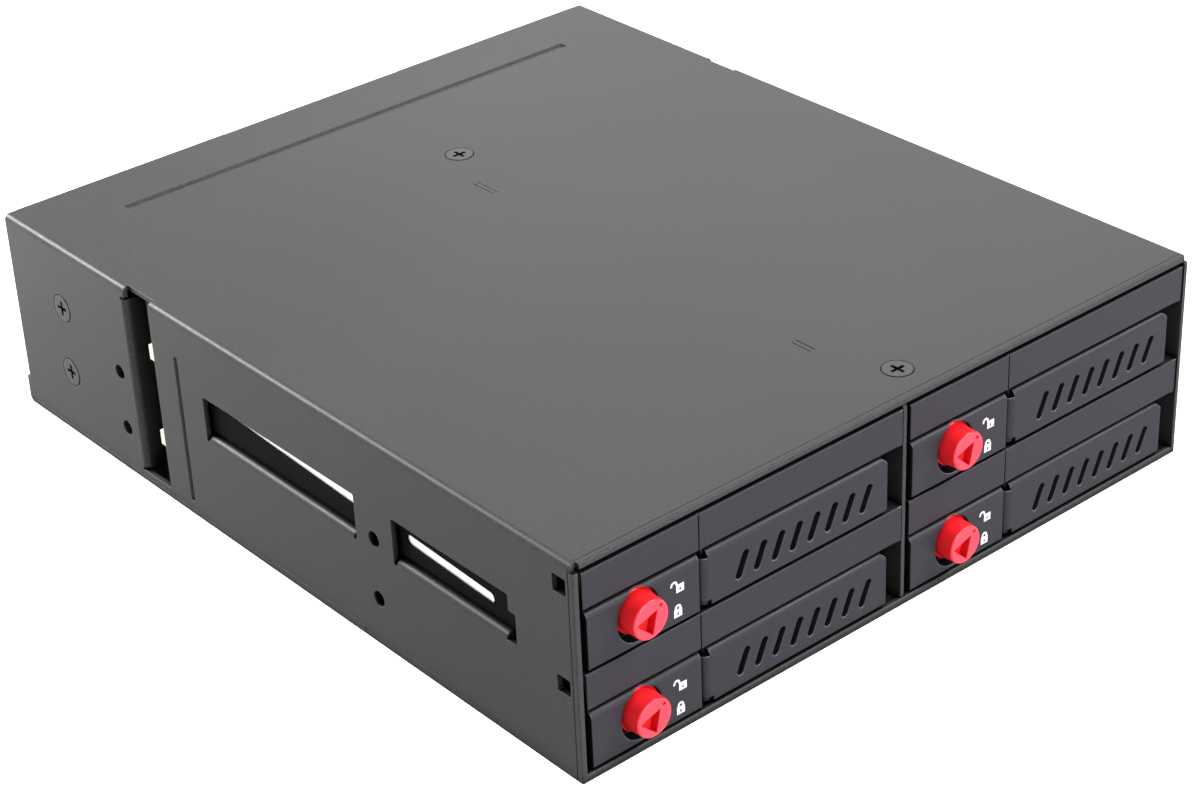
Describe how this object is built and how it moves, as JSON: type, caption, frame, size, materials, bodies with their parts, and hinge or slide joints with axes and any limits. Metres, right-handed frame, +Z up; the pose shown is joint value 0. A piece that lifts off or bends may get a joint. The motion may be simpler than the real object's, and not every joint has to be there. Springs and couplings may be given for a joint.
{
  "type": "hot swap drive cage",
  "caption": "Dark steel hot swap drive cage for a computer bay: sliding trays with slotted swing levers and red key locks, windowed side walls, rear fans and connectors",
  "frame": {"origin": "middle of the footprint, on the bottom face of the base", "axes": "+Z up, +Y towards the back with the fans, +X to the right seen from the front"},
  "size_m": [0.146, 0.173, 0.0416],
  "materials": {
    "case_paint": "satin powder coat",
    "inner_steel": "satin powder coat",
    "tray_steel": "satin powder coat",
    "spring_steel": "bright",
    "screw_steel": "black oxide",
    "bezel_plastic": "fine spark texture",
    "latch_plastic": "smooth",
    "lock_red": "smooth",
    "board": "solder mask",
    "connector_black": "smooth",
    "connector_white": "smooth",
    "fan_plastic": "smooth"
  },
  "bodies": {
    "case": {"cover_shell": "case_paint", "base_pan": "case_paint", "centre_divider": "case_paint", "rear_bracket": "case_paint", "cover_side_screws": "screw_steel", "cover_top_screws": "screw_steel", "backplane_board": "board", "backplane_bracket": "inner_steel", "backplane_screws": "screw_steel", "link_board": "board", "rear_board": "board", "data_port_1": "connector_black", "data_port_2": "connector_black", "data_port_3": "connector_black", "data_port_4": "connector_black", "power_inlet_left": "connector_white", "power_inlet_right": "connector_white", "fan_housing_left": "fan_plastic", "fan_housing_right": "fan_plastic", "fan_screws": "screw_steel", "drive_socket_lower_left": "connector_black", "drive_socket_upper_left": "connector_black", "drive_socket_lower_right": "connector_black", "drive_socket_upper_right": "connector_black"},
    "rotor_left": {"fan_rotor_left": "fan_plastic"},
    "rotor_right": {"fan_rotor_right": "fan_plastic"},
    "tray_lower_left": {"tray_lower_left_frame": "tray_steel", "tray_lower_left_side_springs": "spring_steel", "tray_lower_left_bezel": "bezel_plastic", "tray_lower_left_lever_pin": "spring_steel", "tray_lower_left_latch_spring": "spring_steel"},
    "lever_lower_left": {"tray_lower_left_lever": "bezel_plastic"},
    "latch_bar_lower_left": {"tray_lower_left_latch_bar": "latch_plastic"},
    "lock_knob_lower_left": {"tray_lower_left_lock_knob": "lock_red"},
    "tray_upper_left": {"tray_upper_left_frame": "tray_steel", "tray_upper_left_side_springs": "spring_steel", "tray_upper_left_bezel": "bezel_plastic", "tray_upper_left_lever_pin": "spring_steel", "tray_upper_left_latch_spring": "spring_steel"},
    "lever_upper_left": {"tray_upper_left_lever": "bezel_plastic"},
    "latch_bar_upper_left": {"tray_upper_left_latch_bar": "latch_plastic"},
    "lock_knob_upper_left": {"tray_upper_left_lock_knob": "lock_red"},
    "tray_lower_right": {"tray_lower_right_frame": "tray_steel", "tray_lower_right_side_springs": "spring_steel", "tray_lower_right_bezel": "bezel_plastic", "tray_lower_right_lever_pin": "spring_steel", "tray_lower_right_latch_spring": "spring_steel"},
    "lever_lower_right": {"tray_lower_right_lever": "bezel_plastic"},
    "latch_bar_lower_right": {"tray_lower_right_latch_bar": "latch_plastic"},
    "lock_knob_lower_right": {"tray_lower_right_lock_knob": "lock_red"},
    "tray_upper_right": {"tray_upper_right_frame": "tray_steel", "tray_upper_right_side_springs": "spring_steel", "tray_upper_right_bezel": "bezel_plastic", "tray_upper_right_lever_pin": "spring_steel", "tray_upper_right_latch_spring": "spring_steel"},
    "lever_upper_right": {"tray_upper_right_lever": "bezel_plastic"},
    "latch_bar_upper_right": {"tray_upper_right_latch_bar": "latch_plastic"},
    "lock_knob_upper_right": {"tray_upper_right_lock_knob": "lock_red"}
  },
  "joints": [
    {"name": "rotor_left_spin", "type": "hinge", "parent": "case", "child": "rotor_left", "pos_m": [-0.047, 0.0795, 0.0208], "axis": [0, 1, 0], "continuous": true},
    {"name": "rotor_right_spin", "type": "hinge", "parent": "case", "child": "rotor_right", "pos_m": [0.047, 0.0795, 0.0208], "axis": [0, 1, 0], "continuous": true},
    {"name": "tray_lower_left_slide", "type": "slide", "parent": "case", "child": "tray_lower_left", "axis": [0, -1, 0], "range_m": [0, 0.118]},
    {"name": "lever_lower_left_hinge", "type": "hinge", "parent": "tray_lower_left", "child": "lever_lower_left", "pos_m": [-0.0448, -0.0813, 0.0078], "axis": [0, 0, -1], "range_deg": [0, 45], "stiffness_Nm_per_rad": 0.01},
    {"name": "latch_bar_lower_left_slide", "type": "slide", "parent": "tray_lower_left", "child": "latch_bar_lower_left", "axis": [1, 0, 0], "range_m": [0, 0.0026], "deforming": ["tray_lower_left_latch_spring"]},
    {"name": "lock_knob_lower_left_turn", "type": "hinge", "parent": "tray_lower_left", "child": "lock_knob_lower_left", "pos_m": [-0.06, -0.0835, 0.008], "axis": [0, -1, 0], "range_deg": [-60, 0]},
    {"name": "tray_upper_left_slide", "type": "slide", "parent": "case", "child": "tray_upper_left", "axis": [0, -1, 0], "range_m": [0, 0.118]},
    {"name": "lever_upper_left_hinge", "type": "hinge", "parent": "tray_upper_left", "child": "lever_upper_left", "pos_m": [-0.0448, -0.0813, 0.0269], "axis": [0, 0, -1], "range_deg": [0, 45], "stiffness_Nm_per_rad": 0.01},
    {"name": "latch_bar_upper_left_slide", "type": "slide", "parent": "tray_upper_left", "child": "latch_bar_upper_left", "axis": [1, 0, 0], "range_m": [0, 0.0026], "deforming": ["tray_upper_left_latch_spring"]},
    {"name": "lock_knob_upper_left_turn", "type": "hinge", "parent": "tray_upper_left", "child": "lock_knob_upper_left", "pos_m": [-0.06, -0.0835, 0.0271], "axis": [0, -1, 0], "range_deg": [-60, 0]},
    {"name": "tray_lower_right_slide", "type": "slide", "parent": "case", "child": "tray_lower_right", "axis": [0, -1, 0], "range_m": [0, 0.118]},
    {"name": "lever_lower_right_hinge", "type": "hinge", "parent": "tray_lower_right", "child": "lever_lower_right", "pos_m": [0.0276, -0.0813, 0.0078], "axis": [0, 0, -1], "range_deg": [0, 45], "stiffness_Nm_per_rad": 0.01},
    {"name": "latch_bar_lower_right_slide", "type": "slide", "parent": "tray_lower_right", "child": "latch_bar_lower_right", "axis": [1, 0, 0], "range_m": [0, 0.0026], "deforming": ["tray_lower_right_latch_spring"]},
    {"name": "lock_knob_lower_right_turn", "type": "hinge", "parent": "tray_lower_right", "child": "lock_knob_lower_right", "pos_m": [0.0124, -0.0835, 0.008], "axis": [0, -1, 0], "range_deg": [-60, 0]},
    {"name": "tray_upper_right_slide", "type": "slide", "parent": "case", "child": "tray_upper_right", "axis": [0, -1, 0], "range_m": [0, 0.118]},
    {"name": "lever_upper_right_hinge", "type": "hinge", "parent": "tray_upper_right", "child": "lever_upper_right", "pos_m": [0.0276, -0.0813, 0.0269], "axis": [0, 0, -1], "range_deg": [0, 45], "stiffness_Nm_per_rad": 0.01},
    {"name": "latch_bar_upper_right_slide", "type": "slide", "parent": "tray_upper_right", "child": "latch_bar_upper_right", "axis": [1, 0, 0], "range_m": [0, 0.0026], "deforming": ["tray_upper_right_latch_spring"]},
    {"name": "lock_knob_upper_right_turn", "type": "hinge", "parent": "tray_upper_right", "child": "lock_knob_upper_right", "pos_m": [0.0124, -0.0835, 0.0271], "axis": [0, -1, 0], "range_deg": [-60, 0]}
  ],
  "couplings": [
    {"joint": "latch_bar_lower_left_slide", "follows": "lever_lower_left_hinge", "m_per_rad": 0.0032468},
    {"joint": "latch_bar_upper_left_slide", "follows": "lever_upper_left_hinge", "m_per_rad": 0.0032468},
    {"joint": "latch_bar_lower_right_slide", "follows": "lever_lower_right_hinge", "m_per_rad": 0.0032468},
    {"joint": "latch_bar_upper_right_slide", "follows": "lever_upper_right_hinge", "m_per_rad": 0.0032468}
  ]
}
